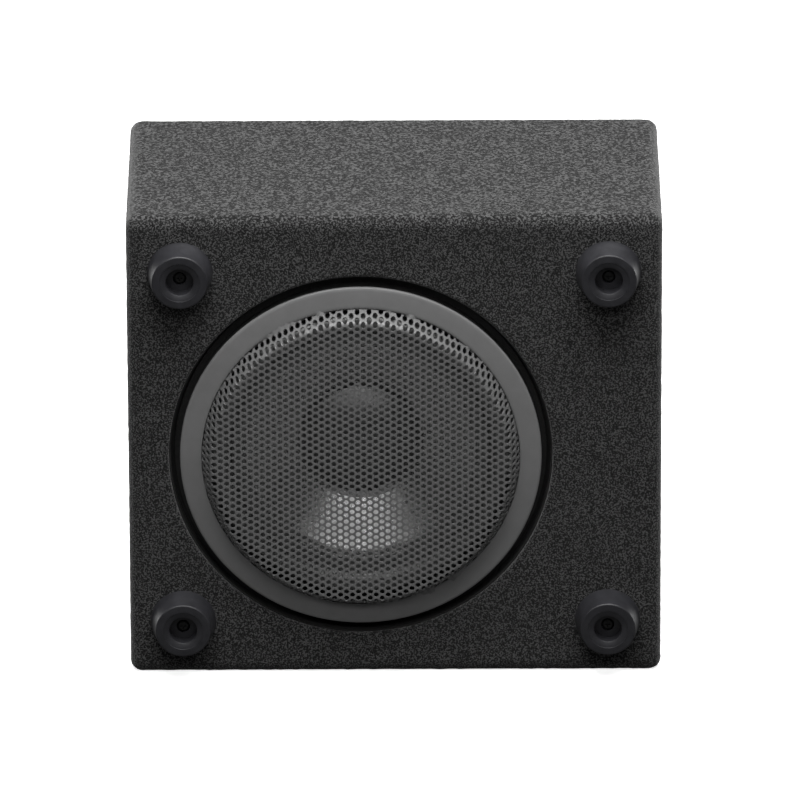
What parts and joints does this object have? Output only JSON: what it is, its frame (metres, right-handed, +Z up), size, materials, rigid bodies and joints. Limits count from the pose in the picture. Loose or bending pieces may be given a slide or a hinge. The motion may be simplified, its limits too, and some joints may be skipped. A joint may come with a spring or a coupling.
{
  "type": "powered car subwoofer",
  "caption": "Carpeted car subwoofer box with a round perforated grille, grey trim ring, rubber feet and a built-in amplifier panel.",
  "frame": {"origin": "centre of the footprint, on the floor under the lower face; the footprint includes the feet on the front", "axes": "+Z up, -Y is the way the driver faces, +X is the end that holds the amplifier"},
  "size_m": [0.309, 0.182, 0.284],
  "materials": {
    "carpet": "dense needle-felt automotive carpet, charcoal",
    "mdf": "raw MDF",
    "felt": "loose polyester felt",
    "foot_rubber": "moulded rubber, satin",
    "zinc_steel": "zinc plated",
    "black_steel": "black oxide",
    "basket_paint": "black powder coat",
    "foam": "closed-cell foam",
    "clamp_rubber": "firm rubber",
    "surround_rubber": "butyl rubber, slight sheen",
    "cone_paper": "coated pulp, satin",
    "cap_paper": "coated pulp dome, satin",
    "former_film": "amber film",
    "copper_wire": "enamelled copper",
    "spider_cloth": "resin-set cloth",
    "plated_iron": "zinc plated iron",
    "ferrite": "sintered ferrite",
    "boot_rubber": "soft rubber",
    "tinsel": "braided tinsel",
    "wire_insulation": "PVC",
    "board_fibre": "phenolic fibre",
    "tin": "tinned brass",
    "ring_plastic": "satin moulded plastic, dark grey",
    "grille_paint": "dark grey powder coat on perforated steel",
    "cast_aluminium": "die cast, black textured coat",
    "cover_steel": "galvanised sheet",
    "circuit_green": "solder mask",
    "can_sleeve": "shrink sleeve",
    "winding": "enamelled copper",
    "chip_epoxy": "moulded epoxy",
    "knob_plastic": "satin nylon",
    "control_case": "moulded plastic",
    "slider_plastic": "light nylon",
    "led_lens": "tinted epoxy",
    "jack_core": "moulded plastic",
    "nickel": "nickel plated",
    "socket_plastic": "moulded nylon",
    "terminal_plastic": "moulded thermoset",
    "brass_plate": "plated brass",
    "fuse_body": "tinted plastic"
  },
  "bodies": {
    "enclosure": {"bottom_panel": "mdf", "top_panel": "mdf", "left_panel": "mdf", "right_panel": "mdf", "front_baffle": "mdf", "back_panel": "mdf", "carpet_wrap": "carpet", "carpet_ends": "carpet", "damping_felt": "felt", "rubber_feet": "foot_rubber", "foot_fixings": "black_steel", "driver_basket": "basket_paint", "basket_gasket": "foam", "clamp_ring": "clamp_rubber", "surround": "surround_rubber", "spider": "spider_cloth", "top_plate": "plated_iron", "magnet": "ferrite", "pole_yoke": "plated_iron", "magnet_boot": "boot_rubber", "terminal_strip": "board_fibre", "terminal_tabs": "tin", "tinsel_leads": "tinsel", "speaker_leads": "wire_insulation", "driver_screws": "black_steel", "trim_ring": "ring_plastic", "grille": "grille_paint", "amp_tray": "cast_aluminium", "amp_gasket": "foam", "amp_screws": "black_steel", "amp_cover": "cover_steel", "inner_screws": "zinc_steel", "lead_grommet": "boot_rubber", "circuit_board": "circuit_green", "capacitors": "can_sleeve", "power_inductor": "winding", "power_transistors": "chip_epoxy", "transistor_clamp": "cover_steel", "potentiometers": "control_case", "slide_switches": "control_case", "power_led": "led_lens", "line_input_block": "jack_core", "line_input_barrels": "nickel", "remote_port": "socket_plastic", "speaker_input_socket": "socket_plastic", "speaker_input_pins": "tin", "terminal_block": "terminal_plastic", "terminal_plates": "brass_plate", "terminal_screws": "nickel", "fuse_holder": "socket_plastic", "fuses": "fuse_body"},
    "cone_assembly": {"cone": "cone_paper", "dust_cap": "cap_paper", "coil_former": "former_film", "voice_coil": "copper_wire"},
    "gain_control": {"gain_knob": "knob_plastic"},
    "crossover_control": {"crossover_knob": "knob_plastic"},
    "bass_boost_control": {"bass_boost_knob": "knob_plastic"},
    "phase_switch_lever": {"phase_slider": "slider_plastic"},
    "auto_on_switch_lever": {"auto_on_slider": "slider_plastic"}
  },
  "joints": [
    {"name": "cone_travel", "type": "slide", "parent": "enclosure", "child": "cone_assembly", "axis": [0, -1, 0], "range_m": [-0.008, 0.008], "stiffness_N_per_m": 3000, "deforming": ["surround", "spider", "tinsel_leads"]},
    {"name": "gain_turn", "type": "hinge", "parent": "enclosure", "child": "gain_control", "pos_m": [0.138, -0.028, 0.109], "axis": [1, 0, 0], "range_deg": [-135, 135]},
    {"name": "crossover_turn", "type": "hinge", "parent": "enclosure", "child": "crossover_control", "pos_m": [0.138, -0.01, 0.109], "axis": [1, 0, 0], "range_deg": [-135, 135]},
    {"name": "bass_boost_turn", "type": "hinge", "parent": "enclosure", "child": "bass_boost_control", "pos_m": [0.138, 0.008, 0.109], "axis": [1, 0, 0], "range_deg": [-135, 135]},
    {"name": "phase_slide", "type": "slide", "parent": "enclosure", "child": "phase_switch_lever", "axis": [0, 0, 1], "range_m": [0, 0.004]},
    {"name": "auto_on_slide", "type": "slide", "parent": "enclosure", "child": "auto_on_switch_lever", "axis": [0, 0, 1], "range_m": [0, 0.004]}
  ]
}
